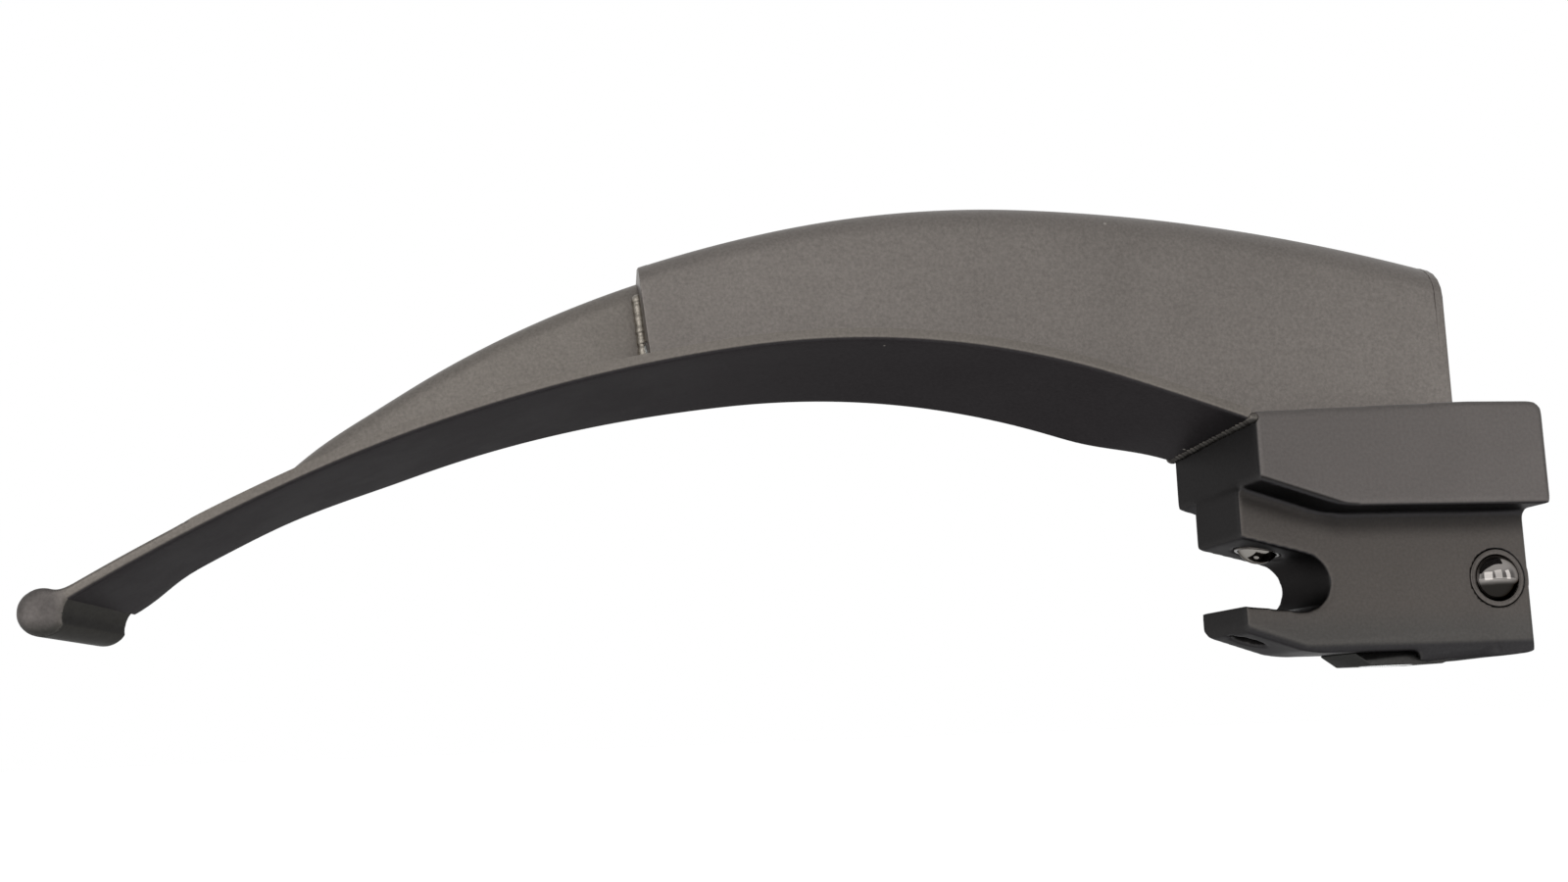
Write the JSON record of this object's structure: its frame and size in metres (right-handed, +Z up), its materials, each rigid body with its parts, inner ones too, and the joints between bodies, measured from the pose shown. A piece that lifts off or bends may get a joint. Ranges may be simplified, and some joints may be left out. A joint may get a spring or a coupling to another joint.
{
  "type": "laryngoscope blade",
  "caption": "Curved fibre-lit laryngoscope blade with a web, a rolled flange, a light guide and a hook-on base with sprung catch balls.",
  "frame": {"origin": "axis of the hook seat that takes the handle's hinge pin, at the middle of the tang's width", "axes": "+X from the tip towards the heel, +Y from the free edge of the spatula towards the web and flange, +Z up from the tang to the block"},
  "size_m": [0.1289, 0.0275, 0.0459],
  "materials": {
    "machined_steel": "satin",
    "sheet_steel": "satin",
    "cover_steel": "satin",
    "weld_steel": "satin",
    "foot_steel": "satin",
    "sleeve_steel": "satin",
    "polished_ball": "polished",
    "spring_wire": "satin",
    "fibre_glass": "satin",
    "window_glass": "polished"
  },
  "bodies": {
    "blade": {"base_block": "machined_steel", "spatula": "sheet_steel", "tip_bead": "sheet_steel", "web_flange": "sheet_steel", "light_housing": "cover_steel", "exit_plate": "cover_steel", "heel_plate": "cover_steel", "housing_weld": "weld_steel", "heel_weld": "weld_steel", "fibre_bundle": "fibre_glass", "exit_ferrule": "sleeve_steel", "exit_window": "window_glass", "entry_ferrule": "foot_steel", "entry_window": "window_glass", "near_ball_sleeve": "sleeve_steel", "far_ball_sleeve": "sleeve_steel", "side_spring": "spring_wire", "hook_ball_collar": "sleeve_steel", "hook_spring": "spring_wire"},
    "near_ball": {"near_ball": "polished_ball"},
    "far_ball": {"far_ball": "polished_ball"},
    "hook_ball": {"hook_ball": "polished_ball"}
  },
  "joints": [
    {"name": "near_ball_press", "type": "slide", "parent": "blade", "child": "near_ball", "axis": [0, 1, 0], "range_m": [0, 0.0008], "stiffness_N_per_m": 60, "springref_m": -0.0008, "deforming": ["side_spring"]},
    {"name": "far_ball_press", "type": "slide", "parent": "blade", "child": "far_ball", "axis": [0, -1, 0], "range_m": [0, 0.0008], "stiffness_N_per_m": 60, "springref_m": -0.0008, "deforming": ["side_spring"]},
    {"name": "hook_ball_press", "type": "slide", "parent": "blade", "child": "hook_ball", "axis": [0.1908, 0, 0.9816], "range_m": [0, 0.0008], "stiffness_N_per_m": 60, "springref_m": -0.0008, "deforming": ["hook_spring"]}
  ]
}
